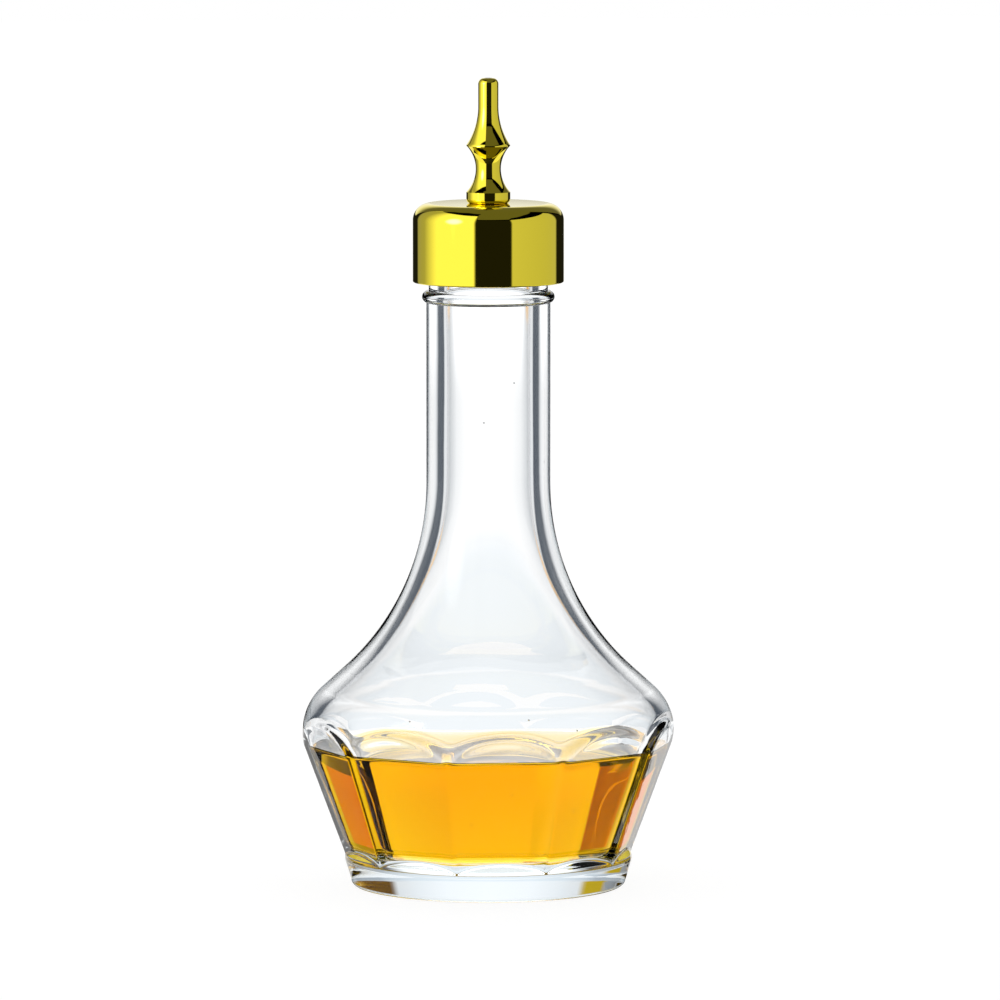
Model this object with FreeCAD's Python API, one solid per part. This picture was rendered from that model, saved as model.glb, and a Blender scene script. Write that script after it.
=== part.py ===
import FreeCAD, Part
import math
import os

# A panelled glass bottle with a screw-on dasher cap. Lengths are millimetres.
# The bottle stands on z = 0, its axis is Z, and one flat panel faces -Y.

overrun = 1.0               # how far a cutting shape runs past what it cuts
same_point = 0.000001       # two outline points closer than this are one point

# Glass body: leaning flat panels under a round shoulder that sweeps up into the neck
body_radius = 33.35
widest_height = 27.5        # where the shoulder's outline is upright
shoulder_radius = 11.0
shoulder_turn_deg = 48.0    # how far the shoulder turns in before its straight slope
shoulder_straight = 5.2
neck_radius = 11.1
panel_count = 10
panel_lean_deg = 19.6
arris_top_height = 25.8     # where the corner between two panels runs into the round body
arris_rounding = 1.8
arch_rounding = 2.0         # where the top of a panel meets the round shoulder
foot_radius = 25.7          # round foot that the panels run down to, at its widest
foot_height = 6.75
foot_lean_deg = 17.0
foot_top_rounding = 1.4
foot_rounding = 1.0
foot_dish_radius = 16.0     # shallow hollow under the foot, inside the ring it stands on
foot_dish_depth = 0.9

# Cavity inside the glass
wall = 2.8
floor_thickness = 7.0
bore_radius = 7.5
inner_arris_rounding = 4.0
inner_floor_rounding = 3.0

# Screw finish at the mouth, above a bead ring
lip_height = 118.5
lip_rounding = 0.8
finish_height = 12.8        # from the middle of the bead up to the lip
finish_step = 0.45          # the finish is this much slimmer than the neck
bead_proud = 0.75
bead_half_height = 1.05

# Right-hand thread shared by the glass and the cap's liner
thread_pitch = 3.175
thread_height = 1.1
thread_root_width = 2.0
thread_crest_width = 0.9
thread_turns = 2.0
thread_lip_drop = 1.5       # from the lip to the middle of the ridge's upper end
thread_embed = 0.3          # how far a ridge is rooted in its wall
thread_clearance = 0.3
liner_root_width = 1.7
liner_crest_width = 0.7
liner_turns = 1.5

# Cap: a thin metal shell bonded over a threaded liner
liner_wall = 0.9
liner_top = 1.8
liner_recess = 0.6          # the liner stops this far above the shell's rim
bond_gap = 0.05
shell_wall = 0.5
cap_edge_rounding = 3.0
cap_gap = 1.55              # from the top of the bead to the cap's rim

# Gasket between the lip and the liner
gasket_thickness = 1.6
gasket_bore = 6.4
gasket_clearance = 0.3

# Dasher finial, heights counted from the top of the cap
finial_height = 22.3
finial_seat_radius = 2.9
bulge_radius = 3.93
bulge_low = 0.75
bulge_high = 2.0
waist_radius = 2.24
waist_height = 6.1
ring_radius = 3.9
ring_height = 10.2
ring_land = 0.2
stem_radius = 1.8
stem_height = 17.2          # where the flare ends and the plain stem starts
tip_rounding = 1.0
orifice_radius = 0.7
orifice_length = 5.0
feed_radius = 1.1
tail_radius = 2.0
tail_clearance = 0.05
tail_end = 0.8              # how far the tail stands out of its nut

# Washer and nut that hold the finial's tail under the liner
washer_radius = 4.5
washer_thickness = 0.8
nut_sides = 6
nut_across_flats = 7.0
nut_thickness = 2.2
nut_chamfer_deg = 30.0

# Liquid in the bottle
fill_height = 25.4
fill_clearance = 0.1

# Heights and radii that follow from the sizes above
bead_height = lip_height - finish_height
bead_top = bead_height + bead_half_height
finish_radius = neck_radius - finish_step
thread_radius = finish_radius + thread_height
liner_bore = thread_radius + thread_clearance
liner_crest = finish_radius + thread_clearance
liner_radius = liner_bore + liner_wall
cap_radius = liner_radius + bond_gap + shell_wall
liner_under = lip_height + gasket_thickness
liner_over = liner_under + liner_top
cap_top = liner_over + shell_wall
cap_bottom = bead_top + cap_gap
liner_bottom = cap_bottom + liner_recess
tail_hole = tail_radius + tail_clearance
nut_over = liner_under - washer_thickness
nut_under = nut_over - nut_thickness
glass_thread_start = lip_height - thread_lip_drop - thread_pitch * thread_turns
liner_thread_start = liner_bottom + liner_root_width / 2

origin = FreeCAD.Vector(0, 0, 0)
up = FreeCAD.Vector(0, 0, 1)
full_turn = 360.0
half_turn = full_turn / 2
quarter_turn = full_turn / 4
panel_step = full_turn / panel_count


def at(radius, height):
    return FreeCAD.Vector(radius, 0, height)


def cosine(degrees):
    return math.cos(math.radians(degrees))


def sine(degrees):
    return math.sin(math.radians(degrees))


def tangent(degrees):
    return math.tan(math.radians(degrees))


class Outline:
    # A closed outline in the half-plane beside the axis, drawn edge by edge, then turned

    def __init__(self, radius, height):
        self.first = at(radius, height)
        self.last = self.first
        self.edges = []

    def line(self, radius, height):
        end = at(radius, height)
        if not end.isEqual(self.last, same_point):
            self.edges.append(Part.LineSegment(self.last, end).toShape())
        self.last = end

    def arc_through(self, middle, end):
        self.edges.append(Part.Arc(self.last, middle, end).toShape())
        self.last = end

    def arc(self, centre_radius, centre_height, radius, start_deg, end_deg):
        def point(degrees):
            return at(centre_radius + radius * cosine(degrees), centre_height + radius * sine(degrees))
        start = point(start_deg)
        self.line(start.x, start.z)
        self.arc_through(point((start_deg + end_deg) / 2), point(end_deg))

    def turned(self):
        self.line(self.first.x, self.first.z)
        return Part.Face(Part.Wire(self.edges)).revolve(origin, up, full_turn)


def upright_arc_radius(run, rise):
    # Radius of an arc that ends upright after moving sideways by run over the height rise
    return (run * run + rise * rise) / (2 * run)


def tube(outer, inner, low, high):
    outline = Outline(inner, low)
    outline.line(outer, low)
    outline.line(outer, high)
    outline.line(inner, high)
    return outline.turned()


def shoulder(outline, radius, rounding, throat_radius):
    # Round shoulder, straight slope, then a hollow flare that ends upright at the throat
    outline.arc(radius - rounding, widest_height, rounding, 0, shoulder_turn_deg)
    slope_end = at(outline.last.x - shoulder_straight * sine(shoulder_turn_deg),
                   outline.last.z + shoulder_straight * cosine(shoulder_turn_deg))
    outline.line(slope_end.x, slope_end.z)
    flare = (slope_end.x - throat_radius) / (1 - cosine(shoulder_turn_deg))
    throat_height = slope_end.z + flare * sine(shoulder_turn_deg)
    outline.arc(throat_radius + flare, throat_height, flare, half_turn + shoulder_turn_deg, half_turn)


def polygon_points(corner_radius, count, height, turn_deg):
    step = full_turn / count
    return [FreeCAD.Vector(corner_radius * cosine(turn_deg + step * k),
                           corner_radius * sine(turn_deg + step * k), height) for k in range(count)]


def panel_apothem(height, inset):
    # Distance from the axis to a panel at a height, inset square to the panel
    at_arris_top = body_radius * cosine(panel_step / 2)
    lean = tangent(panel_lean_deg)
    return at_arris_top + lean * (height - arris_top_height) - inset / cosine(panel_lean_deg)


def panel_frustum(low, high, inset, corner_rounding):
    # Flat panels that lean outwards, with rounded corners
    first_corner_deg = -quarter_turn + panel_step / 2
    rings = [polygon_points(panel_apothem(z, inset) / cosine(panel_step / 2), panel_count, z, first_corner_deg)
             for z in (low, high)]
    ends = [rings[0][::-1], rings[1]]
    faces = [Part.Face(Part.makePolygon(ring + ring[:1])) for ring in ends]
    for k in range(panel_count):
        nxt = (k + 1) % panel_count
        corners = [rings[0][k], rings[0][nxt], rings[1][nxt], rings[1][k]]
        faces.append(Part.Face(Part.makePolygon(corners + corners[:1])))
    block = Part.Solid(Part.Shell(faces))
    arrises = [e for e in block.Edges if e.BoundBox.ZLength > (high - low) / 2]
    return block.makeFillet(corner_rounding, arrises)


def between_corners(shape):
    # The seam of a turned shape is kept away from the panel corners
    shape.rotate(origin, up, panel_step / 4)
    return shape


def bottle_outside():
    # The panelled body, the shoulder and the neck, up to the top of the bead
    outline = Outline(0, 0)
    outline.line(body_radius, 0)
    shoulder(outline, body_radius, shoulder_radius, neck_radius)
    outline.line(neck_radius, bead_height - bead_half_height)
    outline.arc_through(at(neck_radius + bead_proud, bead_height), at(neck_radius, bead_top))
    outline.line(0, bead_top)
    panels = panel_frustum(foot_rounding, bead_top + overrun, 0, arris_rounding)
    body = between_corners(outline.turned()).common(panels).Solids[0]
    arches = [e for e in body.Edges if e.BoundBox.ZMin > widest_height - shoulder_radius
              and e.BoundBox.ZMax < widest_height + shoulder_radius and not isinstance(e.Curve, Part.Circle)]
    return body.makeFillet(arch_rounding, arches).fuse(round_foot()).cut(foot_dish())


def round_foot():
    centre = at(foot_radius - foot_top_rounding, foot_height - foot_top_rounding)
    side_top = at(centre.x + foot_top_rounding * cosine(foot_lean_deg),
                  centre.z - foot_top_rounding * sine(foot_lean_deg))
    side_radius = side_top.x - tangent(foot_lean_deg) * (side_top.z - foot_rounding)
    outline = Outline(0, 0)
    outline.arc(side_radius - foot_rounding / cosine(foot_lean_deg), foot_rounding, foot_rounding,
                -quarter_turn, -foot_lean_deg)
    outline.arc(centre.x, centre.z, foot_top_rounding, -foot_lean_deg, quarter_turn)
    outline.line(0, foot_height)
    return between_corners(outline.turned())


def foot_dish():
    sphere_radius = upright_arc_radius(foot_dish_depth, foot_dish_radius)
    half_angle = math.degrees(math.asin(foot_dish_radius / sphere_radius))
    outline = Outline(0, 0)
    outline.line(foot_dish_radius, 0)
    outline.arc(0, foot_dish_depth - sphere_radius, sphere_radius, quarter_turn - half_angle, quarter_turn)
    return outline.turned()


def bottle_cavity(inset, bore):
    # The space inside the body, inset square to its walls, open at the top of the bead
    outline = Outline(0, floor_thickness)
    outline.line(body_radius - inset, floor_thickness)
    shoulder(outline, body_radius - inset, shoulder_radius - inset, bore)
    outline.line(bore, bead_top + overrun)
    outline.line(0, bead_top + overrun)
    panels = panel_frustum(floor_thickness, bead_top + overrun, inset, inner_arris_rounding)
    lower = [e for e in panels.Edges if e.BoundBox.ZMax < floor_thickness + same_point]
    return between_corners(outline.turned()).common(panels.makeFillet(inner_floor_rounding, lower))


def screw_finish():
    # The mouth above the bead: a plain tube with a rounded lip and the thread around it
    outline = Outline(bore_radius, bead_top)
    outline.line(finish_radius, bead_top)
    outline.arc(finish_radius - lip_rounding, lip_height - lip_rounding, lip_rounding, 0, quarter_turn)
    outline.arc(bore_radius + lip_rounding, lip_height - lip_rounding, lip_rounding, quarter_turn, half_turn)
    ridge = thread_ridge(finish_radius - thread_embed, thread_root_width, thread_radius,
                         thread_crest_width, thread_turns, glass_thread_start, 0)
    return outline.turned().fuse(ridge)


def thread_ridge(root, root_width, crest, crest_width, turns, start_height, start_deg):
    # A ridge of trapezoid section that winds up a right-hand helix
    corners = [at(root, -root_width / 2), at(crest, -crest_width / 2),
               at(crest, crest_width / 2), at(root, root_width / 2)]
    section = Part.makePolygon(corners + corners[:1])
    helix = Part.Wire(Part.makeHelix(thread_pitch, thread_pitch * turns, crest).Edges)
    ridge = helix.makePipeShell([section], True, True)
    ridge.rotate(origin, up, start_deg)
    ridge.translate(FreeCAD.Vector(0, 0, start_height))
    return ridge


def glass_bottle():
    return bottle_outside().cut(bottle_cavity(wall, bore_radius)).fuse(screw_finish())


def bitters_fill():
    below_level = Part.makeCylinder(body_radius, fill_height)
    return bottle_cavity(wall + fill_clearance, bore_radius - fill_clearance).common(below_level)


def cap_shell():
    inner_rounding = cap_edge_rounding - shell_wall
    edge_centre = cap_radius - cap_edge_rounding
    outline = Outline(tail_hole, cap_top)
    outline.arc(edge_centre, cap_top - cap_edge_rounding, cap_edge_rounding, quarter_turn, 0)
    outline.arc(cap_radius - shell_wall / 2, cap_bottom + shell_wall / 2, shell_wall / 2, 0, -half_turn)
    outline.arc(edge_centre, cap_top - cap_edge_rounding, inner_rounding, 0, quarter_turn)
    outline.line(tail_hole, liner_over)
    return outline.turned()


def cap_liner():
    rounding = cap_edge_rounding - shell_wall
    outline = Outline(tail_hole, liner_over)
    outline.arc(liner_radius - rounding, liner_over - rounding, rounding, quarter_turn, 0)
    outline.line(liner_radius, liner_bottom)
    outline.line(liner_bore, liner_bottom)
    outline.line(liner_bore, liner_under)
    outline.line(tail_hole, liner_under)
    # The liner's ridge winds midway between the turns of the glass ridge
    rise = liner_thread_start - glass_thread_start + thread_pitch / 2
    ridge = thread_ridge(liner_bore + thread_embed, liner_root_width, liner_crest,
                         liner_crest_width, liner_turns, liner_thread_start, full_turn * rise / thread_pitch)
    return outline.turned().fuse(ridge)


def sealing_gasket():
    return tube(liner_bore - gasket_clearance, gasket_bore, lip_height, liner_under)


def finial_outside():
    foot_arc = upright_arc_radius(bulge_radius - finial_seat_radius, bulge_low)
    foot_deg = math.degrees(math.asin(bulge_low / foot_arc))
    ring_top = ring_height + ring_land
    flare_arc = upright_arc_radius(ring_radius - stem_radius, stem_height - ring_top)
    flare_deg = math.degrees(math.asin((stem_height - ring_top) / flare_arc))
    outline = Outline(0, cap_top)
    outline.line(finial_seat_radius, cap_top)
    foot_start_deg = -foot_deg if bulge_radius - foot_arc < finial_seat_radius else foot_deg - half_turn
    outline.arc(bulge_radius - foot_arc, cap_top + bulge_low, foot_arc, foot_start_deg, 0)
    outline.line(bulge_radius, cap_top + bulge_high)
    outline.arc_through(at(waist_radius, cap_top + waist_height), at(ring_radius, cap_top + ring_height))
    outline.line(ring_radius, cap_top + ring_top)
    outline.arc(stem_radius + flare_arc, cap_top + stem_height, flare_arc, half_turn + flare_deg, half_turn)
    tip = cap_top + finial_height - tip_rounding
    outline.arc(stem_radius - tip_rounding, tip, tip_rounding, 0, quarter_turn)
    outline.line(0, cap_top + finial_height)
    return outline.turned()


def finial_passage():
    # The feed bore rises from the tail and narrows in a cone to the orifice at the tip
    tip = cap_top + finial_height
    orifice_low = tip - orifice_length
    tail_low = nut_under - tail_end
    outline = Outline(0, tail_low - overrun)
    outline.line(feed_radius, tail_low - overrun)
    outline.line(feed_radius, orifice_low - (feed_radius - orifice_radius))
    outline.line(orifice_radius, orifice_low)
    outline.line(orifice_radius, tip + overrun)
    outline.line(0, tip + overrun)
    return outline.turned()


def dasher_finial():
    tail_low = nut_under - tail_end
    tail = Part.makeCylinder(tail_radius, cap_top - tail_low, at(0, tail_low))
    return finial_outside().fuse(tail).cut(finial_passage())


def finial_washer():
    return tube(washer_radius, tail_hole, nut_over, liner_under)


def finial_nut():
    corner = nut_across_flats / 2 / cosine(half_turn / nut_sides)
    hexagon = polygon_points(corner, nut_sides, nut_under, 0)
    block = Part.Face(Part.makePolygon(hexagon + hexagon[:1])).extrude(at(0, nut_thickness))
    # Chamfered corners: a turned blank that is as wide as the flats at its two faces
    drop = (corner - nut_across_flats / 2) * tangent(nut_chamfer_deg)
    blank = Outline(tail_hole, nut_under)
    blank.line(nut_across_flats / 2, nut_under)
    blank.line(corner, nut_under + drop)
    blank.line(corner, nut_over - drop)
    blank.line(nut_across_flats / 2, nut_over)
    blank.line(tail_hole, nut_over)
    return block.common(blank.turned())


def main():
    os.makedirs("parts", exist_ok=True)
    pieces = [glass_bottle, bitters_fill, cap_shell, cap_liner, sealing_gasket,
              dasher_finial, finial_washer, finial_nut]
    for piece in pieces:
        shape = piece()
        shape.exportStep("parts/" + piece.__name__ + ".step")
        print(piece.__name__, "solids", len(shape.Solids), "valid", shape.isValid(),
              "volume", round(shape.Volume, 1))
    let_go = glass_thread_start + thread_pitch * thread_turns - thread_pitch / 2 - liner_thread_start
    print("thread lets go after", round(full_turn * let_go / thread_pitch, 1), "degrees")


main()
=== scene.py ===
import math
import bmesh
import bpy
from mathutils import Matrix, Vector


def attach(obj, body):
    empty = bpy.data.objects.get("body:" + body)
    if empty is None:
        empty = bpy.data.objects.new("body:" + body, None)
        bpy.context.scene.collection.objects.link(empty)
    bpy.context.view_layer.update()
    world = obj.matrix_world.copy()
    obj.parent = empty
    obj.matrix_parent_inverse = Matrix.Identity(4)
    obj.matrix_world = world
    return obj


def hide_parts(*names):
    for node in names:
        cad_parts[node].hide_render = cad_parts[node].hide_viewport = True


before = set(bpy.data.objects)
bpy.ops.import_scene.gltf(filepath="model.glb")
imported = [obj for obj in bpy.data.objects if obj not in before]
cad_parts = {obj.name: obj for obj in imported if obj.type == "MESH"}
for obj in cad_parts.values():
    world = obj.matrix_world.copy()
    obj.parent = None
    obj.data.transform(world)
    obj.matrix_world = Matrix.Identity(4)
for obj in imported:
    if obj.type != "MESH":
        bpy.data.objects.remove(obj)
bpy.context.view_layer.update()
print("frame loaded:", ", ".join(sorted(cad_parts)))

mm = 0.001               # outlines are drawn in millimetres, meshes are in metres
weld = 1e-7
quarterTurn = 90.0
halfTurn = 180.0
fullTurn = 360.0


# Outlines: rows of (radius, height) beside the bottle's axis, with a count of faces along each stretch

def arcRow(centreRadius, centreHeight, radius, startDeg, endDeg, count):
    turns = [math.radians(startDeg + (endDeg - startDeg) * i / count) for i in range(count + 1)]
    return [(centreRadius + radius * math.cos(t), centreHeight + radius * math.sin(t)) for t in turns]


def lineRow(start, end, count, hold=0.0):
    # a held line has two more points close to its ends, so that shading stays flat up to a rounding
    length = math.hypot(end[0] - start[0], end[1] - start[1])
    shares = [i / count for i in range(count + 1)]
    if hold:
        shares = sorted(shares + [hold / length, 1 - hold / length])
    return [(start[0] + (end[0] - start[0]) * s, start[1] + (end[1] - start[1]) * s) for s in shares]


def spinRows(rows, steps):
    bm = bmesh.new()
    ring = [bm.verts.new((r * mm, 0, z * mm)) for r, z in rows]
    wire = [bm.edges.new(pair) for pair in zip(ring, ring[1:])]
    bmesh.ops.spin(bm, geom=ring + wire, cent=(0, 0, 0), axis=(0, 0, 1), dvec=(0, 0, 0),
                   angle=2 * math.pi, steps=steps, use_merge=True, use_duplicate=False)
    bmesh.ops.remove_doubles(bm, verts=bm.verts, dist=weld)
    return bm


def newObject(bm, name, material):
    mesh = bpy.data.meshes.new(name)
    bm.to_mesh(mesh)
    bm.free()
    mesh.materials.append(material)
    made = bpy.data.objects.new(name, mesh)
    bpy.context.scene.collection.objects.link(made)
    return made


def finishPiece(bm, name, material, body, node, crease):
    piece = newObject(bm, name, material)
    mesh = piece.data
    mesh.polygons.foreach_set("use_smooth", [True] * len(mesh.polygons))
    mesh.set_sharp_from_angle(angle=math.radians(crease))
    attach(piece, body)
    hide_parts(node)
    print("piece", name, "faces", len(mesh.polygons))


# Material helpers

def setInputs(node, **values):
    # socket names with their blanks left out: baseColor is Base Color
    sockets = {s.name.replace(" ", "").lower(): s for s in node.inputs}
    for key, value in values.items():
        sockets[key.lower()].default_value = value


def newMaterial(name, **constants):
    material = bpy.data.materials.new(name)
    material.use_nodes = True
    setInputs(material.node_tree.nodes["Principled BSDF"], **constants)
    return material


def linkShader(tree, source, socketName):
    tree.links.new(source, tree.nodes["Principled BSDF"].inputs[socketName])


def addAbsorption(tree, **values):
    absorb = tree.nodes.new("ShaderNodeVolumeAbsorption")
    setInputs(absorb, **values)
    tree.links.new(absorb.outputs["Volume"], tree.nodes["Material Output"].inputs["Volume"])


def feedSocket(tree, socket, source):
    # a constant goes on the socket itself, an output is linked to it
    if isinstance(source, (int, float, tuple)):
        socket.default_value = source
    else:
        tree.links.new(source, socket)


def mathNode(tree, operation, *sources):
    node = tree.nodes.new("ShaderNodeMath")
    node.operation = operation
    for socket, source in zip(node.inputs, sources):
        feedSocket(tree, socket, source)
    return node.outputs["Value"]


def productNode(tree, first, *factors):
    for factor in factors:
        first = mathNode(tree, "MULTIPLY", first, factor)
    return first


def rangeNode(tree, value, fromLow, fromHigh, toLow=0.0, toHigh=1.0):
    node = tree.nodes.new("ShaderNodeMapRange")
    node.interpolation_type = "SMOOTHSTEP"
    for socket, source in zip(node.inputs, (value, fromLow, fromHigh, toLow, toHigh)):
        feedSocket(tree, socket, source)
    return node.outputs["Result"]


def mixColour(tree, factor, first, second, blend="MIX"):
    # the node has sockets for every type of value: inputs 6 and 7 and output 2 are its colours
    node = tree.nodes.new("ShaderNodeMix")
    node.data_type = "RGBA"
    node.blend_type = blend
    feedSocket(tree, node.inputs["Factor"], factor)
    feedSocket(tree, node.inputs[6], first)
    feedSocket(tree, node.inputs[7], second)
    return node.outputs[2]


def newGroup(name, inputs, outputs):
    tree = bpy.data.node_groups.new(name, "ShaderNodeTree")
    for label, kind, value in inputs:
        socket = tree.interface.new_socket(label, in_out="INPUT", socket_type="NodeSocket" + kind)
        if value is not None:
            socket.default_value = value
    for label, kind in outputs:
        tree.interface.new_socket(label, in_out="OUTPUT", socket_type="NodeSocket" + kind)
    return tree, tree.nodes.new("NodeGroupInput"), tree.nodes.new("NodeGroupOutput")


def useGroup(tree, group, **values):
    node = tree.nodes.new("ShaderNodeGroup")
    node.node_tree = group
    setInputs(node, **values)
    place = tree.nodes.new("ShaderNodeTexCoord")
    tree.links.new(place.outputs["Object"], node.inputs["Vector"])
    return node


def smudgeGroup(start=0.5, full=0.75):
    # soft patches where a surface was handled, as a roughness; start and full are levels of the noise
    tree, given, out = newGroup("smudges", [("Vector", "Vector", None), ("Scale", "Float", 40.0),
                                            ("Clean", "Float", 0.03), ("Smudged", "Float", 0.08)],
                                [("Roughness", "Float")])
    noise = tree.nodes.new("ShaderNodeTexNoise")
    setInputs(noise, detail=4.0, roughness=0.55, distortion=0.6)
    tree.links.new(given.outputs["Vector"], noise.inputs["Vector"])
    tree.links.new(given.outputs["Scale"], noise.inputs["Scale"])
    mask = rangeNode(tree, noise.outputs["Fac"], start, full)
    tree.links.new(rangeNode(tree, mask, 0.0, 1.0, given.outputs["Clean"], given.outputs["Smudged"]),
                   out.inputs["Roughness"])
    return tree


def latheGroup():
    # fine rings around the axis, left by turning and polishing
    tree, given, out = newGroup("lathe marks", [("Vector", "Vector", None), ("Pitch", "Float", 9000.0),
                                                ("Depth", "Float", 0.1)], [("Normal", "Vector")])
    parts = tree.nodes.new("ShaderNodeSeparateXYZ")
    tree.links.new(given.outputs["Vector"], parts.inputs["Vector"])
    noise = tree.nodes.new("ShaderNodeTexNoise")
    noise.noise_dimensions = "1D"
    setInputs(noise, detail=2.0)
    tree.links.new(parts.outputs["Z"], noise.inputs["W"])
    tree.links.new(given.outputs["Pitch"], noise.inputs["Scale"])
    bump = tree.nodes.new("ShaderNodeBump")
    setInputs(bump, distance=0.00002)
    tree.links.new(given.outputs["Depth"], bump.inputs["Strength"])
    tree.links.new(noise.outputs["Fac"], bump.inputs["Height"])
    tree.links.new(bump.outputs["Normal"], out.inputs["Normal"])
    return tree


def grainGroup():
    # uneven surface: slow waves in glass, fine grain on moulded parts
    tree, given, out = newGroup("surface grain", [("Vector", "Vector", None), ("Scale", "Float", 3000.0),
                                                  ("Depth", "Float", 0.1), ("Height", "Float", 0.00003)],
                                [("Normal", "Vector")])
    noise = tree.nodes.new("ShaderNodeTexNoise")
    setInputs(noise, detail=3.0)
    tree.links.new(given.outputs["Vector"], noise.inputs["Vector"])
    tree.links.new(given.outputs["Scale"], noise.inputs["Scale"])
    bump = tree.nodes.new("ShaderNodeBump")
    tree.links.new(given.outputs["Depth"], bump.inputs["Strength"])
    tree.links.new(given.outputs["Height"], bump.inputs["Distance"])
    tree.links.new(noise.outputs["Fac"], bump.inputs["Height"])
    tree.links.new(bump.outputs["Normal"], out.inputs["Normal"])
    return tree


smudges = smudgeGroup()
latheMarks = latheGroup()
surfaceGrain = grainGroup()


def handledMaterial(name, look):
    # roughness from handling, and a normal from fine relief
    material = newMaterial(name, **look["shader"])
    tree = material.node_tree
    hands = useGroup(tree, smudges, **look["hands"])
    linkShader(tree, hands.outputs["Roughness"], "Roughness")
    relief = useGroup(tree, look["relief"], **look["reliefSize"])
    linkShader(tree, relief.outputs["Normal"], "Normal")
    return material


# Clear glass: panelled body on a round foot, round shoulder, long neck and a threaded mouth

glass = dict(
    steps=280, hold=0.1, crease=50.0,
    bodyRadius=33.35, widest=27.5, shoulder=11.0, shoulderTurn=48.0, straight=5.2,
    panels=10, lean=19.6, arrisTop=25.8,
    archLow=23.5, archHigh=31.5,          # heights between which the panel tops are finely divided
    cornerWarp=0.8,                       # draws the columns of faces towards the panel corners
    dishRadius=16.0, dishDepth=0.9,
    neck=11.1, neckStart=70.0, beadHeight=105.7, beadHalf=1.05, beadProud=0.75,
    finish=10.65, lip=118.5, lipRounding=0.8,
    # unevenness of the blown inner wall: waves around it, phase, twist per millimetre of height, and share
    wave=0.05, waves=[(2, 0.0, 0.05, 1.0), (3, -1.1, 0.11, 0.6), (5, 0.0, 0.21, 0.4)],
)
foot = dict(radius=25.75, bulge=4.9, lean=17.0, topLean=26.0, sideRounding=2.0, rounding=1.0, soft=0.3,
            ledgeLow=4.2, ledgeHigh=7.8)  # heights between which the scalloped edge is finely divided
thread = dict(pitch=3.175, height=1.1, root=1.76, crest=0.9, start=110.65, turns=2.0, fade=0.06)
outerSkin = dict(inset=0.0, corner=1.6, archSoft=0.4, throat=11.1)
innerSkin = dict(inset=2.8, floor=7.0, floorRounding=3.0, corner=4.0, archSoft=0.9, throat=7.5,
                 roundShare=0.75)         # share of the floor's radius that stays round
# tiny bubbles in the middle of the wall: height, and bearing from the panel that faces -Y
seeds = dict(radius=0.16, places=[(32.5, -32), (31.0, 24), (33.0, 8), (29.5, -55), (20.0, 3), (14.5, -12),
                                  (16.5, 27), (84.0, -10), (91.0, 22), (18.0, 140), (76.0, 100)])


def apothem(z, skin):
    lean = math.radians(glass["lean"])
    atArrisTop = glass["bodyRadius"] * math.cos(math.pi / glass["panels"])
    return atArrisTop + math.tan(lean) * (z - glass["arrisTop"]) - skin["inset"] / math.cos(lean)


def roundRadius(z, skin):
    rounding = glass["shoulder"] - skin["inset"]
    rise = min(max(z - glass["widest"], 0.0), rounding)
    return glass["bodyRadius"] - glass["shoulder"] + math.sqrt(rounding ** 2 - rise ** 2)


def panelOffset(angle):
    # angle from the middle of the nearest panel; one panel faces -Y
    step = 2 * math.pi / glass["panels"]
    return (angle + math.pi / 2 + step / 2) % step - step / 2


def panelRadius(offset, flat, corner):
    # radius of a rounded polygon, flat from the axis to a side, at an angle from the side's middle
    half = math.pi / glass["panels"]
    reach = (flat - corner) / math.cos(half)
    if abs(math.tan(offset)) < (flat - corner) * math.tan(half) / flat:
        return flat / math.cos(offset)
    aside = half - abs(offset)
    return reach * math.cos(aside) + math.sqrt(corner ** 2 - (reach * math.sin(aside)) ** 2)


def softMin(a, b, width):
    overlap = max(width - abs(a - b), 0.0) / width
    return min(a, b) - overlap * overlap * width / 4


def wallRadius(z, angle, skin):
    # one side of the wall: panels below, round above their arched tops, then the neck
    if z > glass["neckStart"]:
        return skin["throat"]
    return softMin(panelRadius(panelOffset(angle), apothem(z, skin), skin["corner"]),
                   roundRadius(z, skin), skin["archSoft"])


def footSide():
    # centre of the lower rounding, and the top of the foot's straight side
    lean = math.radians(foot["lean"])
    topRadius = foot["radius"] - foot["sideRounding"] * (1 - math.cos(lean))
    topHeight = foot["bulge"] - foot["sideRounding"] * math.sin(lean)
    centre = topRadius - math.tan(lean) * (topHeight - foot["rounding"]) - foot["rounding"] / math.cos(lean)
    return centre, topRadius, topHeight


def footRadius(z):
    # rounding at the floor, side that leans out, rounded bulge, then a bevel that leans in under the panels
    lean = math.radians(foot["lean"])
    topLean = math.radians(foot["topLean"])
    rounding = foot["rounding"]
    bulge = foot["sideRounding"]
    centre, topRadius, topHeight = footSide()
    bevelHeight = foot["bulge"] + bulge * math.sin(topLean)
    if z < rounding * (1 - math.sin(lean)):
        return centre + math.sqrt(rounding ** 2 - (rounding - z) ** 2)
    if z < topHeight:
        return topRadius - math.tan(lean) * (topHeight - z)
    if z < bevelHeight:
        return foot["radius"] - bulge + math.sqrt(bulge ** 2 - (z - foot["bulge"]) ** 2)
    bevelRadius = foot["radius"] - bulge * (1 - math.cos(topLean))
    return bevelRadius - math.tan(topLean) * (z - bevelHeight)


def floorArc(skin):
    # centre of the rounding between the floor and a panel, and the height where the panel starts
    lean = math.radians(glass["lean"])
    rounding = skin["floorRounding"]
    centre = apothem(skin["floor"] + rounding, skin) - rounding / math.cos(lean)
    return centre, skin["floor"] + rounding * (1 - math.sin(lean))


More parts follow.
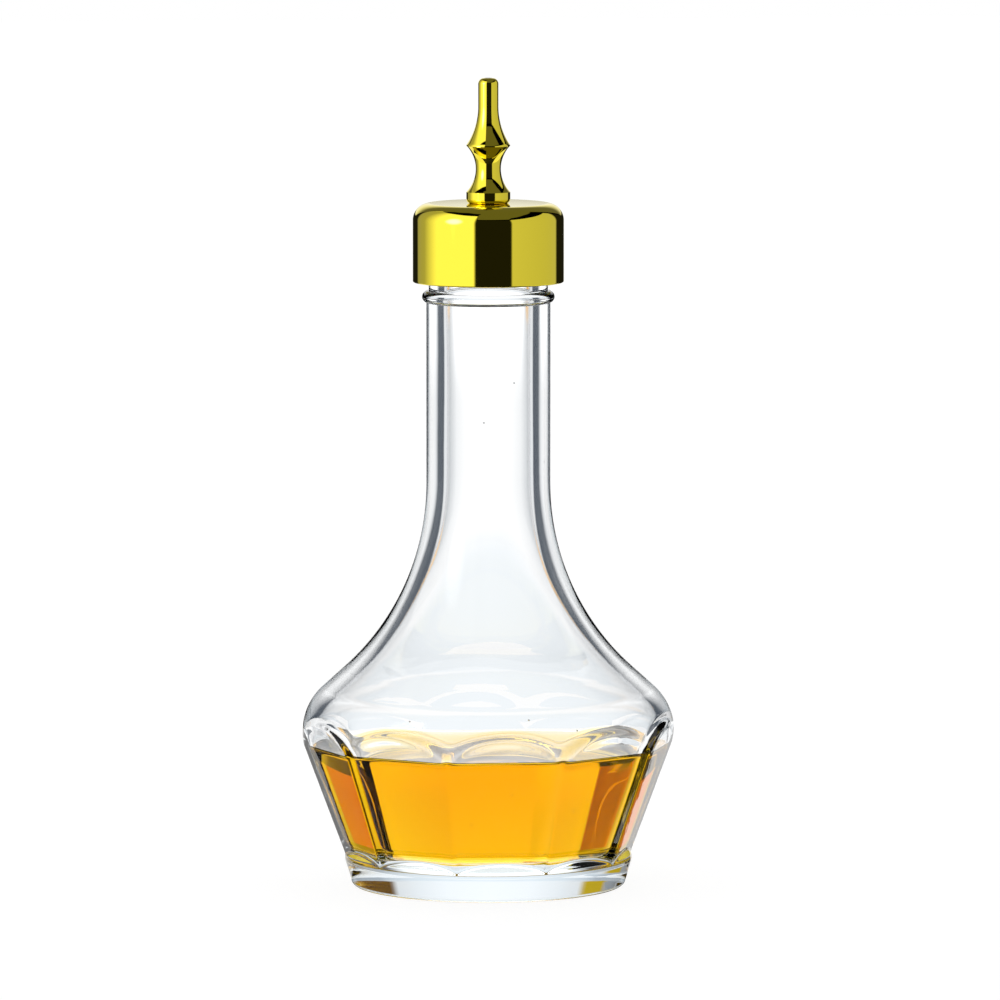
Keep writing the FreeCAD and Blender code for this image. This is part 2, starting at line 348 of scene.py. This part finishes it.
def footRows():
    rounding = foot["rounding"]
    centre = footSide()[0]
    sideLow = rounding * (1 - math.sin(math.radians(foot["lean"])))
    sideStart = (footRadius(sideLow), sideLow)
    sideEnd = (footRadius(foot["ledgeLow"]), foot["ledgeLow"])
    ledgeEnd = (apothem(foot["ledgeHigh"], outerSkin), foot["ledgeHigh"])
    sphere = (glass["dishRadius"] ** 2 + glass["dishDepth"] ** 2) / (2 * glass["dishDepth"])
    dishTurn = math.degrees(math.asin(glass["dishRadius"] / sphere))
    rows = arcRow(0, glass["dishDepth"] - sphere, sphere, quarterTurn, quarterTurn - dishTurn, count=6)
    rows += lineRow((glass["dishRadius"], 0), (centre, 0), count=2, hold=glass["hold"])[1:]
    rows += arcRow(centre, rounding, rounding, -quarterTurn, -foot["lean"], count=8)[1:]
    rows += lineRow(sideStart, sideEnd, count=3, hold=glass["hold"])[1:]
    rows += lineRow(rows[-1], ledgeEnd, count=32)[1:]
    return rows


def floorRows(skin):
    centre = floorArc(skin)[0]
    rows = lineRow((0, skin["floor"]), (centre, skin["floor"]), count=4, hold=glass["hold"])
    rows += arcRow(centre, skin["floor"] + skin["floorRounding"], skin["floorRounding"],
                   -quarterTurn, -glass["lean"], count=9)[1:]
    return rows


def bodyRows(skin, start):
    # from a height on the panels up to the throat
    low = glass["archLow"]
    top = glass["widest"]
    rounding = glass["shoulder"] - skin["inset"]
    axis = glass["bodyRadius"] - glass["shoulder"]
    archTurn = math.degrees(math.asin((glass["archHigh"] - top) / rounding))
    turn = math.radians(glass["shoulderTurn"])
    rows = lineRow((apothem(start, skin), start), (apothem(low, skin), low), count=8, hold=glass["hold"])
    rows += lineRow((axis + rounding, low), (axis + rounding, top), count=16)[1:]
    rows += arcRow(axis, top, rounding, 0, archTurn, count=16)[1:]
    rows += arcRow(axis, top, rounding, archTurn, glass["shoulderTurn"], count=12)[1:]
    slopeEnd = (rows[-1][0] - glass["straight"] * math.sin(turn),
                rows[-1][1] + glass["straight"] * math.cos(turn))
    rows += lineRow(rows[-1], slopeEnd, count=3, hold=glass["hold"])[1:]
    flare = (slopeEnd[0] - skin["throat"]) / (1 - math.cos(turn))
    rows += arcRow(skin["throat"] + flare, slopeEnd[1] + flare * math.sin(turn), flare,
                   halfTurn + glass["shoulderTurn"], halfTurn, count=28)[1:]
    return rows


def pressPanels(bm, skin):
    # the round blank gets its flat panels, and its columns are drawn towards the panel corners
    panels = glass["panels"]
    inside = "floor" in skin
    for vert in bm.verts:
        radius = math.hypot(vert.co.x, vert.co.y) / mm
        z = vert.co.z / mm
        if radius < weld / mm:
            continue
        angle = math.atan2(vert.co.y, vert.co.x)
        angle += glass["cornerWarp"] * math.sin(panels * panelOffset(angle)) / panels
        if inside and z < floorArc(skin)[1] - weld / mm:
            past = radius / floorArc(skin)[0] - skin["roundShare"]
            blend = min(max(past / (1 - skin["roundShare"]), 0.0), 1.0)
            radius += (panelRadius(panelOffset(angle), radius, skin["corner"]) - radius) * blend
        elif z < glass["archHigh"] and (inside or z > foot["rounding"]):
            radius = wallRadius(z, angle, skin)
            if not inside and z < foot["ledgeHigh"]:
                radius = -softMin(-radius, -footRadius(z), foot["soft"])
        vert.co.x = radius * mm * math.cos(angle)
        vert.co.y = radius * mm * math.sin(angle)


def unevenWall(bm):
    # slow waves in the wall thickness, fading out towards the axis
    for vert in bm.verts:
        radius = math.hypot(vert.co.x, vert.co.y) / mm
        angle = math.atan2(vert.co.y, vert.co.x)
        z = vert.co.z / mm
        swell = sum(size * math.sin(count * angle + phase + twist * z)
                    for count, phase, twist, size in glass["waves"])
        if radius > weld / mm and z < glass["beadHeight"]:
            grow = 1 + glass["wave"] * swell * min(radius / glass["neck"], 1.0) / radius
            vert.co.x *= grow
            vert.co.y *= grow


def raiseThread(bm):
    # a ridge winds up the finish; its ends fade into the neck
    slope = (thread["root"] - thread["crest"]) / 2
    for vert in bm.verts:
        radius = math.hypot(vert.co.x, vert.co.y) / mm
        share = math.atan2(vert.co.y, vert.co.x) / (2 * math.pi) % 1.0
        rise = (vert.co.z / mm - thread["start"]) / thread["pitch"] - share
        turn = min(max(round(rise), 0), math.ceil(thread["turns"])) + share
        away = abs(rise - turn + share) * thread["pitch"]
        height = min(max((thread["root"] / 2 - away) / slope, 0.0), 1.0)
        ends = min(turn, thread["turns"] - turn) / thread["fade"]
        height *= min(max(ends, 0.0), 1.0) * thread["height"]
        if height > 0:
            vert.co.x *= 1 + height / radius
            vert.co.y *= 1 + height / radius


def addSeeds(bm):
    for z, bearing in seeds["places"]:
        angle = math.radians(bearing - quarterTurn)
        middle = (wallRadius(z, angle, outerSkin) + wallRadius(z, angle, innerSkin)) / 2 * mm
        place = Matrix.Translation((middle * math.cos(angle), middle * math.sin(angle), z * mm))
        made = bmesh.ops.create_icosphere(bm, subdivisions=2, radius=seeds["radius"] * mm, matrix=place)
        bmesh.ops.reverse_faces(bm, faces=list({f for v in made["verts"] for f in v.link_faces}))


def outsideWall(lipMiddle):
    neck = glass["neck"]
    finish = glass["finish"]
    rounding = glass["lipRounding"]
    lipStart = glass["lip"] - rounding
    beadLow = glass["beadHeight"] - glass["beadHalf"]
    beadTop = glass["beadHeight"] + glass["beadHalf"]
    beadRadius = (glass["beadHalf"] ** 2 + glass["beadProud"] ** 2) / (2 * glass["beadProud"])
    beadTurn = math.degrees(math.asin(glass["beadHalf"] / beadRadius))
    rows = footRows()
    rows += bodyRows(outerSkin, foot["ledgeHigh"])[1:]
    rows += lineRow((neck, rows[-1][1]), (neck, beadLow), count=6, hold=glass["hold"])[1:]
    rows += arcRow(neck + glass["beadProud"] - beadRadius, glass["beadHeight"], beadRadius,
                   -beadTurn, beadTurn, count=12)[1:]
    rows += lineRow((finish, beadTop), (finish, lipStart), count=44)
    rows += arcRow(finish - rounding, lipStart, rounding, 0, quarterTurn, count=5)[1:]
    bm = spinRows(rows + [lipMiddle], glass["steps"])
    pressPanels(bm, outerSkin)
    raiseThread(bm)
    return bm


def insideWall(lipMiddle):
    throat = innerSkin["throat"]
    rounding = glass["lipRounding"]
    lipStart = glass["lip"] - rounding
    rows = floorRows(innerSkin)
    rows += bodyRows(innerSkin, rows[-1][1])[1:]
    rows += lineRow(rows[-1], (throat, lipStart), count=6, hold=glass["hold"])[1:]
    rows += arcRow(throat + rounding, lipStart, rounding, halfTurn, quarterTurn, count=5)[1:]
    bm = spinRows(rows + [lipMiddle], glass["steps"])
    pressPanels(bm, innerSkin)
    unevenWall(bm)
    return bm


def makeGlass(material):
    # both sides of the wall meet in the middle of the lip
    lipMiddle = ((glass["finish"] + innerSkin["throat"]) / 2, glass["lip"])
    bm = outsideWall(lipMiddle)
    inside = insideWall(lipMiddle)
    wall = bpy.data.meshes.new("inside wall")
    inside.to_mesh(wall)
    inside.free()
    bm.from_mesh(wall)
    bpy.data.meshes.remove(wall)
    bmesh.ops.remove_doubles(bm, verts=bm.verts, dist=weld)
    bmesh.ops.recalc_face_normals(bm, faces=bm.faces)
    addSeeds(bm)
    finishPiece(bm, "bottle_glass", material, body="bottle", node="glass_bottle",
                crease=glass["crease"])


def clearGlass():
    material = newMaterial("clear glass", baseColor=(1, 1, 1, 1), roughness=0.0, ior=1.5,
                           transmissionWeight=1.0, specularTint=(0.2, 0.2, 0.2, 1))
    tree = material.node_tree
    waves = useGroup(tree, surfaceGrain, scale=90.0, depth=0.12, height=0.0002)
    linkShader(tree, waves.outputs["Normal"], "Normal")
    addAbsorption(tree, color=(0.82, 0.93, 1.0, 1), density=13.0)
    return material


# Amber liquid: fills the cavity a hair past the glass wall, so no film of air shows between them

liquid = dict(
    level=25.4, overlap=0.12, crease=60.0,
    climb=0.7, reach=1.1,                 # how high it climbs the wall, and how fast that fades inwards
    climbRows=10, span=5.0, crowding=1.6,  # rows over a number of reaches, drawn towards the wall
)
liquidSkin = dict(innerSkin, inset=innerSkin["inset"] - liquid["overlap"],
                  floor=innerSkin["floor"] - liquid["overlap"])


def coverLiquid(bm):
    # the rim is extruded inwards, row by row, down the curve where liquid climbs the wall
    rim = [e for e in bm.edges if e.is_boundary]
    shares = [row / liquid["climbRows"] for row in range(liquid["climbRows"] + 1)]
    steps = [liquid["span"] * liquid["reach"] * share ** liquid["crowding"] for share in shares]
    for before, inwards in zip(steps, steps[1:]):
        climb = liquid["climb"] * math.exp(-inwards / liquid["reach"]) if inwards < steps[-1] else 0.0
        made = bmesh.ops.extrude_edge_only(bm, edges=rim)["geom"]
        rim = [g for g in made if isinstance(g, bmesh.types.BMEdge) and g.is_boundary]
        for vert in {v for e in rim for v in e.verts}:
            shrink = 1 - (inwards - before) * mm / math.hypot(vert.co.x, vert.co.y)
            vert.co = Vector((vert.co.x * shrink, vert.co.y * shrink, (liquid["level"] + climb) * mm))
    bmesh.ops.contextual_create(bm, geom=rim)


def makeLiquid(material):
    edge = liquid["level"] + liquid["climb"]
    rows = floorRows(liquidSkin)
    rows += lineRow(rows[-1], (apothem(edge, liquidSkin), edge), count=20, hold=glass["hold"])[1:]
    bm = spinRows(rows, glass["steps"])
    pressPanels(bm, liquidSkin)
    unevenWall(bm)
    coverLiquid(bm)
    bmesh.ops.remove_doubles(bm, verts=bm.verts, dist=weld)
    bmesh.ops.recalc_face_normals(bm, faces=bm.faces)
    finishPiece(bm, "amber_bitters", material, body="bottle", node="bitters_fill",
                crease=liquid["crease"])


def amberLiquid():
    material = newMaterial("amber bitters", baseColor=(1, 1, 1, 1), roughness=0.0, ior=1.36,
                           transmissionWeight=1.0, specularTint=(0, 0, 0, 1))
    addAbsorption(material.node_tree, color=(1.0, 0.885, 0.0, 1), density=140.0)
    return material


# Gold cap shell and finial

goldPlate = dict(
    shader=dict(baseColor=(0.95, 0.80, 0.06, 1), metallic=1.0),
    hands=dict(scale=160.0, clean=0.035, smudged=0.06),
    relief=latheMarks, reliefSize=dict(pitch=7000.0, depth=0.02),
)
cap = dict(steps=192, hold=0.05, crease=40.0,
           radius=13.5, bottom=108.3, top=122.4, wall=0.5, edge=3.0, hole=2.05)


def makeCap(material):
    centre = (cap["radius"] - cap["edge"], cap["top"] - cap["edge"])
    hold = cap["hold"]
    rim = cap["wall"] / 2
    rows = [(cap["hole"], cap["top"] - cap["wall"])]
    rows += lineRow((cap["hole"], cap["top"]), (centre[0], cap["top"]), count=4, hold=hold)
    rows += arcRow(*centre, cap["edge"], quarterTurn, 0, count=20)[1:]
    rows += lineRow(rows[-1], (cap["radius"], cap["bottom"] + rim), count=6, hold=hold)[1:]
    rows += arcRow(cap["radius"] - rim, cap["bottom"] + rim, rim, 0, -halfTurn, count=8)[1:]
    rows += lineRow(rows[-1], (cap["radius"] - cap["wall"], centre[1]), count=2, hold=hold)[1:]
    rows += arcRow(*centre, cap["edge"] - cap["wall"], 0, quarterTurn, count=8)[1:]
    bm = spinRows(rows + rows[:1], cap["steps"])
    bmesh.ops.recalc_face_normals(bm, faces=bm.faces)
    finishPiece(bm, "gold_cap", material, body="dasher_cap", node="cap_shell",
                crease=cap["crease"])


finial = dict(
    steps=128, hold=0.05, crease=40.0,
    height=22.3, seat=2.9,
    bulge=3.93, bulgeLow=0.75, bulgeHigh=2.0,
    waist=2.24, waistHeight=6.1,
    ring=3.9, ringLow=10.2, ringHigh=10.4,
    stem=1.8, stemHeight=17.2, tip=1.0,
    orifice=0.7, orificeLength=5.0, feed=1.1, tail=2.0, tailEnd=116.3,
)


def threePointArc(first, middle, last, count):
    # arc through three points, as a row from the first to the last
    ax, ay, bx, by, cx, cy = *first, *middle, *last
    d = 2 * (ax * (by - cy) + bx * (cy - ay) + cx * (ay - by))
    squares = [x * x + y * y for x, y in (first, middle, last)]
    ux = (squares[0] * (by - cy) + squares[1] * (cy - ay) + squares[2] * (ay - by)) / d
    uy = (squares[0] * (cx - bx) + squares[1] * (ax - cx) + squares[2] * (bx - ax)) / d
    turns = [math.degrees(math.atan2(y - uy, x - ux)) % fullTurn for x, y in (first, last)]
    return arcRow(ux, uy, math.hypot(ax - ux, ay - uy), turns[0], turns[1], count)


def makeFinial(material):
    base = cap["top"]
    top = base + finial["height"]
    hold = finial["hold"]
    stem = finial["stem"]
    tip = finial["tip"]
    run = finial["bulge"] - finial["seat"]
    footArc = (run ** 2 + finial["bulgeLow"] ** 2) / (2 * run)
    footTurn = math.degrees(math.asin(finial["bulgeLow"] / footArc))
    run = finial["ring"] - stem
    rise = finial["stemHeight"] - finial["ringHigh"]
    flare = (run ** 2 + rise ** 2) / (2 * run)
    flareTurn = math.degrees(math.asin(rise / flare))
    narrow = top - finial["orificeLength"]

    rows = [(finial["feed"], finial["tailEnd"]), (finial["tail"], finial["tailEnd"])]
    rows += [(finial["tail"], base), (finial["seat"], base)]
    rows += arcRow(finial["bulge"] - footArc, base + finial["bulgeLow"], footArc,
                   footTurn - halfTurn, 0, count=10)[1:]
    rows += lineRow(rows[-1], (finial["bulge"], base + finial["bulgeHigh"]), count=2, hold=hold)[1:]
    rows += threePointArc(rows[-1], (finial["waist"], base + finial["waistHeight"]),
                          (finial["ring"], base + finial["ringLow"]), count=28)[1:]
    rows += [(finial["ring"], base + finial["ringHigh"])]
    rows += arcRow(stem + flare, base + finial["stemHeight"], flare,
                   halfTurn + flareTurn, halfTurn, count=24)[1:]
    rows += lineRow(rows[-1], (stem, top - tip), count=3, hold=hold)[1:]
    rows += arcRow(stem - tip, top - tip, tip, 0, quarterTurn, count=10)[1:]
    rows += [(finial["orifice"], top), (finial["orifice"], narrow)]
    rows += [(finial["feed"], narrow - finial["feed"] + finial["orifice"])]
    bm = spinRows(rows + rows[:1], finial["steps"])
    bmesh.ops.recalc_face_normals(bm, faces=bm.faces)
    finishPiece(bm, "gold_finial", material, body="dasher_cap", node="dasher_finial",
                crease=finial["crease"])


# Pieces inside the cap: the frame's own solids with finer finishes

linerPlastic = dict(
    shader=dict(baseColor=(0.86, 0.86, 0.82, 1), subsurfaceWeight=0.1, subsurfaceScale=0.001),
    hands=dict(scale=300.0, clean=0.38, smudged=0.5),
    relief=surfaceGrain, reliefSize=dict(scale=5000.0, depth=0.15, height=0.00003),
)
sealRubber = dict(
    shader=dict(baseColor=(0.68, 0.68, 0.65, 1), subsurfaceWeight=0.2, subsurfaceScale=0.001),
    hands=dict(scale=400.0, clean=0.55, smudged=0.7),
    relief=surfaceGrain, reliefSize=dict(scale=9000.0, depth=0.2, height=0.00003),
)
nutBrass = dict(
    shader=dict(baseColor=(0.78, 0.60, 0.27, 1), metallic=1.0),
    hands=dict(scale=500.0, clean=0.22, smudged=0.4),
    relief=latheMarks, reliefSize=dict(pitch=12000.0, depth=0.25),
)


def dressNodes():
    rubber = handledMaterial("silicone seal", sealRubber)
    finishes = dict(cap_liner=handledMaterial("moulded liner", linerPlastic),
                    sealing_gasket=rubber, finial_washer=rubber,
                    finial_nut=handledMaterial("machined brass", nutBrass))
    for name, material in finishes.items():
        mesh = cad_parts[name].data
        mesh.materials.clear()
        mesh.materials.append(material)


# Studio: camera, white room with cards around the bottle, floor

camera = dict(azimuth=-5.5, distance=1650.0, height=240.0, aimAside=2.08, aimHeight=69.2,
              lens=334.0, clipEnd=10.0)


def makeCamera():
    data = bpy.data.cameras.new("camera")
    data.lens = camera["lens"]
    data.clip_end = camera["clipEnd"]
    turn = math.radians(camera["azimuth"])
    aside = Vector((math.cos(turn), math.sin(turn), 0)) * camera["aimAside"] * mm
    place = Vector((math.sin(turn), -math.cos(turn), 0)) * camera["distance"] * mm + aside
    place.z = camera["height"] * mm
    aim = aside + Vector((0, 0, camera["aimHeight"] * mm))
    view = bpy.data.objects.new("camera", data)
    view.location = place
    view.rotation_euler = (aim - place).to_track_quat("-Z", "Y").to_euler()
    bpy.context.scene.collection.objects.link(view)
    bpy.context.scene.camera = view


whiteRoom = dict(dimmed=0.8)     # level for light that reaches matt surfaces


def seenRays(tree):
    # 1 for rays that show the surroundings: straight from the camera, mirrored or through glass
    path = tree.nodes.new("ShaderNodeLightPath")
    seen = mathNode(tree, "MAXIMUM", path.outputs["Is Camera Ray"], path.outputs["Is Glossy Ray"])
    return mathNode(tree, "MAXIMUM", seen, path.outputs["Is Transmission Ray"])


def makeWorld():
    world = bpy.data.worlds.new("white room")
    bpy.context.scene.world = world
    world.use_nodes = True
    tree = world.node_tree
    back = tree.nodes["Background"]
    setInputs(back, color=(1, 1, 1, 1))
    level = rangeNode(tree, seenRays(tree), 0.0, 1.0, whiteRoom["dimmed"], 1.0)
    tree.links.new(level, back.inputs["Strength"])


# Cards on a sphere around the bottle, in metres. A stop is a bearing in degrees from the camera, positive
# to its right, with a level, a cover or a colour

cards = dict(radius=0.3, middle=0.1)

# what polished metal mirrors
mirrored = dict(
    levels=[(-180, 1.0), (-169, 1.0), (-167, 0.012), (-136, 0.012), (-132, 0.36), (-112, 0.42), (-84, 1.2),
            (-22, 1.2), (-19, 0.012), (34.5, 0.012), (36.5, 0.66), (122, 0.55), (126, 0.012), (167, 0.012),
            (169, 1.0), (180, 1.0)],
    # height, as a share of the radius, of the cards' upper edge and of the dark gap above them
    cardTops=[(-180, 0.12), (-150, 0.14), (-136, 0.4), (-128, 0.78), (-80, 0.83), (-22, 0.83), (-17, 0.5),
              (34, 0.48), (38, 0.5), (75, 0.58), (118, 0.64), (130, 0.4), (150, 0.14), (180, 0.12)],
    gapTops=[(-180, 0.13), (-150, 0.15), (-136, 0.5), (-112, 0.88), (-80, 0.95), (-24, 0.95), (-17, 0.56),
             (34, 0.56), (40, 0.66), (75, 0.78), (118, 0.82), (132, 0.5), (150, 0.15), (180, 0.13)],
    edgeSoft=0.02,
    overhead=0.13, overheadStart=0.72, overheadEnd=0.96,
    hotBearing=-54.0, hotWidth=17.0, hotMiddle=0.19, hotHalf=0.096, hotLevel=9.0,
)

# what is seen through glass
through = dict(
    # a white wall behind the bottle, brighter higher up and dimmer near the floor
    wall=[(-180, 1.06), (-170, 1.03), (-160, 0.92), (-150, 0.84), (150, 0.84), (160, 0.92), (170, 1.03),
          (180, 1.06)],
    coolness=0.2,                # how far dim parts of the wall turn blue
    wallHigh=[(-180, 1.9), (-162, 1.8), (-152, 1.0), (-146, 0.82), (146, 0.82), (152, 1.0), (162, 1.8),
              (180, 1.9)],
    brightLow=0.058, brightHigh=0.096,
    dimLow=0.028, dimHigh=0.046, dimTint=(0.87, 0.91, 0.94, 1),
    # dark flags beside the wall, fainter for light that no inner face mirrors
    flags=[(-180, 0.0), (-160, 0.0), (-153, 0.3), (-149, 0.65), (-146, 1.0), (-125, 1.0), (-121, 0.0),
           (121, 0.0), (125, 1.0), (146, 1.0), (149, 0.65), (153, 0.3), (160, 0.0), (180, 0.0)],
    flagColour=(0.08, 0.097, 0.12, 1), flagFaint=0.42, flagDark=1.0,
    # painted amber light on the cards, seen straight through the glass between two heights, which paints
    # the liquid's side panels a warmer orange
    warmCards=[(-180, 0.0), (-149, 0.0), (-147, 1.0), (-137, 1.0), (-135.5, 0.0), (139.5, 0.0), (141, 1.0),
               (150.5, 1.0), (152.5, 0.0), (180, 0.0)],
    warmLow=0.074, warmHigh=0.112, amber=(0.9, 0.46, 0.04, 1),
    # painted light and shade that only the solid foot's corners show, above a height, standing in for the
    # liquid and dark flags refracted in them: brown on one side, yellow and grey on the other
    footCards=[(-180, (1.06, 1.06, 1.06)), (-153, (0.84, 0.84, 0.84)), (-150, (0.55, 0.38, 0.02)),
               (-139, (0.55, 0.38, 0.02)), (-136, (0.36, 0.38, 0.4)), (-121, (0.4, 0.42, 0.44)),
               (-118, (0.82, 0.82, 0.82)), (112, (0.82, 0.82, 0.82)), (118, (0.5, 0.27, 0.06)),
               (130, (0.16, 0.075, 0.02)), (150, (0.14, 0.07, 0.02)), (153, (0.84, 0.84, 0.84)),
               (180, (1.06, 1.06, 1.06))],
    footLow=0.058,
    footDepth=2.5,               # light through the foot crosses two faces, elsewhere it crosses more
    cardSoft=0.008,
    top=0.6, topSoft=0.1, above=(0.6, 0.6, 0.6, 1),
)


def bearingRamp(tree, share, stops, coolness=0.0):
    ramp = tree.nodes.new("ShaderNodeValToRGB")
    elements = ramp.color_ramp.elements
    while len(elements) < len(stops):
        elements.new(1.0)
    for element, (degrees, level) in zip(elements, stops):
        element.position = (degrees + halfTurn) / fullTurn
        if isinstance(level, tuple):
            element.color = (*level, 1)
        else:
            element.color = (level ** (1 + coolness), level ** (1 + coolness / 2), level, 1)
    tree.links.new(share, ramp.inputs["Fac"])
    return ramp.outputs["Color"]


def cardPlace(tree):
    # bearing in radians and as a share of a turn, z, and in radii the height over the middle and the depth
    place = tree.nodes.new("ShaderNodeTexCoord")
    parts = tree.nodes.new("ShaderNodeSeparateXYZ")
    tree.links.new(place.outputs["Object"], parts.inputs["Vector"])
    towardsFront = mathNode(tree, "MULTIPLY", parts.outputs["Y"], -1.0)
    bearing = mathNode(tree, "ARCTAN2", parts.outputs["X"], towardsFront)
    bearing = mathNode(tree, "SUBTRACT", bearing, math.radians(camera["azimuth"]))
    turns = mathNode(tree, "DIVIDE", bearing, 2 * math.pi)
    rise = mathNode(tree, "SUBTRACT", parts.outputs["Z"], cards["middle"])
    return dict(bearing=bearing, z=parts.outputs["Z"],
                share=mathNode(tree, "FRACT", mathNode(tree, "ADD", turns, 0.5)),
                height=mathNode(tree, "DIVIDE", rise, cards["radius"]),
                behind=mathNode(tree, "DIVIDE", parts.outputs["Y"], cards["radius"]))


def overEdge(tree, place, tops):
    over = mathNode(tree, "SUBTRACT", place["height"], bearingRamp(tree, place["share"], tops))
    return rangeNode(tree, over, 0.0, mirrored["edgeSoft"])


def hotSpot(tree, place):
    aside = mathNode(tree, "SUBTRACT", place["bearing"], math.radians(mirrored["hotBearing"]))
    aside = mathNode(tree, "DIVIDE", aside, math.radians(mirrored["hotWidth"]))
    over = mathNode(tree, "SUBTRACT", place["z"], mirrored["hotMiddle"])
    over = mathNode(tree, "DIVIDE", over, mirrored["hotHalf"])
    away = mathNode(tree, "ADD", productNode(tree, aside, aside), productNode(tree, over, over))
    return rangeNode(tree, away, 0.0, 1.0, mirrored["hotLevel"], 0.0)


def mirroredLight(tree, place):
    # cards with a dark gap above them, a hot spot, and light overhead that is full behind the bottle
    overCard = overEdge(tree, place, mirrored["cardTops"])
    overGap = overEdge(tree, place, mirrored["gapTops"])
    overhead = rangeNode(tree, place["behind"], mirrored["overheadStart"], mirrored["overheadEnd"],
                         mirrored["overhead"], 1.0)
    light = bearingRamp(tree, place["share"], mirrored["levels"])
    light = productNode(tree, light, mathNode(tree, "SUBTRACT", 1.0, overCard))
    light = mathNode(tree, "ADD", light, hotSpot(tree, place))
    return mathNode(tree, "ADD", light, productNode(tree, overhead, overGap))


def wallLight(tree, place):
    wall = bearingRamp(tree, place["share"], through["wall"], through["coolness"])
    nearFloor = rangeNode(tree, place["z"], through["dimLow"], through["dimHigh"], 1.0, 0.0)
    wall = mixColour(tree, nearFloor, wall, through["dimTint"], "MULTIPLY")
    higher = rangeNode(tree, place["z"], through["brightLow"], through["brightHigh"])
    return mixColour(tree, higher, wall, bearingRamp(tree, place["share"], through["wallHigh"]))


def throughLight(tree, place, path):
    # the wall, then flags, the painted amber light and the painted colours for the foot's corners over it,
    # and an even level at the top
    soft = through["cardSoft"]
    bounced = mathNode(tree, "MINIMUM", path.outputs["Glossy Depth"], 1.0)
    straight = mathNode(tree, "SUBTRACT", 1.0, bounced)

    shade = rangeNode(tree, bounced, 0.0, 1.0, through["flagFaint"], through["flagDark"])
    shade = productNode(tree, shade, bearingRamp(tree, place["share"], through["flags"]))
    light = mixColour(tree, shade, wallLight(tree, place), through["flagColour"])

    # painted amber light on the liquid's side panels, only for rays that no inner face mirrored
    overWarm = rangeNode(tree, place["z"], through["warmLow"], through["warmLow"] + soft)
    underWarm = rangeNode(tree, place["z"], through["warmHigh"], through["warmHigh"] + soft, 1.0, 0.0)
    paintedAmberCover = bearingRamp(tree, place["share"], through["warmCards"])
    light = mixColour(tree, productNode(tree, paintedAmberCover, straight, overWarm, underWarm), light, through["amber"])

    # painted colours seen through the foot's corners: rays that crossed only two faces and no mirror, above
    # a height
    inFoot = mathNode(tree, "LESS_THAN", path.outputs["Transmission Depth"], through["footDepth"])
    overFoot = rangeNode(tree, place["z"], through["footLow"], through["footLow"] + soft)
    paintedFootLight = bearingRamp(tree, place["share"], through["footCards"])
    light = mixColour(tree, productNode(tree, inFoot, straight, overFoot), light, paintedFootLight)

    overWall = rangeNode(tree, place["height"], through["top"], through["top"] + through["topSoft"])
    return mixColour(tree, overWall, light, through["above"])


def cardMaterial():
    material = bpy.data.materials.new("studio cards")
    material.use_nodes = True
    tree = material.node_tree
    tree.nodes.clear()
    place = cardPlace(tree)
    path = tree.nodes.new("ShaderNodeLightPath")
    light = mixColour(tree, path.outputs["Is Transmission Ray"], mirroredLight(tree, place),
                      throughLight(tree, place, path))
    glow = tree.nodes.new("ShaderNodeEmission")
    tree.links.new(light, glow.inputs["Color"])
    output = tree.nodes.new("ShaderNodeOutputMaterial")
    tree.links.new(glow.outputs["Emission"], output.inputs["Surface"])
    return material


def makeCards():
    bm = bmesh.new()
    bmesh.ops.create_uvsphere(bm, u_segments=48, v_segments=24, radius=cards["radius"],
                              matrix=Matrix.Translation((0, 0, cards["middle"])))
    room = newObject(bm, "studio_cards", cardMaterial())
    room.visible_camera = False
    room.visible_diffuse = False
    room.visible_shadow = False


# Floor, just under the bottle, and a black card on it

paleFloor = dict(half=3000.0, drop=0.1, glow=0.85, level=1.08)
blackCard = dict(drop=0.05, corners=[(-150, -300), (150, -300), (150, 244), (30, 8), (-30, 6), (-150, 163)])


def floorMaterial():
    # mostly glowing where it shows, a matt surface for the light that falls on it
    material = newMaterial("pale floor", baseColor=(0.85, 0.85, 0.85, 1), roughness=0.8)
    tree = material.node_tree
    glow = tree.nodes.new("ShaderNodeEmission")
    setInputs(glow, strength=paleFloor["level"])
    mix = tree.nodes.new("ShaderNodeMixShader")
    tree.links.new(productNode(tree, seenRays(tree), paleFloor["glow"]), mix.inputs["Fac"])
    tree.links.new(tree.nodes["Principled BSDF"].outputs["BSDF"], mix.inputs[1])
    tree.links.new(glow.outputs["Emission"], mix.inputs[2])
    tree.links.new(mix.outputs["Shader"], tree.nodes["Material Output"].inputs["Surface"])
    return material


def makeFloor():
    bm = bmesh.new()
    bmesh.ops.create_grid(bm, x_segments=2, y_segments=2, size=paleFloor["half"] * mm,
                          matrix=Matrix.Translation((0, 0, -paleFloor["drop"] * mm)))
    floor = newObject(bm, "floor", floorMaterial())


def makeBlackCard():
    # lies around the bottle, out of the camera's sight, so that leaning panels mirror no white floor;
    # it is cut away behind the bottle, where the rims of the side panels mirror the floor
    bm = bmesh.new()
    z = -blackCard["drop"] * mm
    bm.faces.new([bm.verts.new((x * mm, y * mm, z)) for x, y in blackCard["corners"]])
    material = newMaterial("black card", baseColor=(0.01, 0.01, 0.01, 1), roughness=0.9)
    card = newObject(bm, "black_card", material)
    card.visible_camera = False
    card.visible_diffuse = False
    card.visible_transmission = False
    card.visible_shadow = False


makeCamera()
makeWorld()
makeCards()
makeFloor()
makeBlackCard()
print("studio ready")

makeGlass(clearGlass())
makeLiquid(amberLiquid())
gold = handledMaterial("gold plate", goldPlate)
makeCap(gold)
makeFinial(gold)
dressNodes()
print("pieces ready")

bpy.context.scene.view_settings.view_transform = "Standard"
bpy.context.view_layer.update()
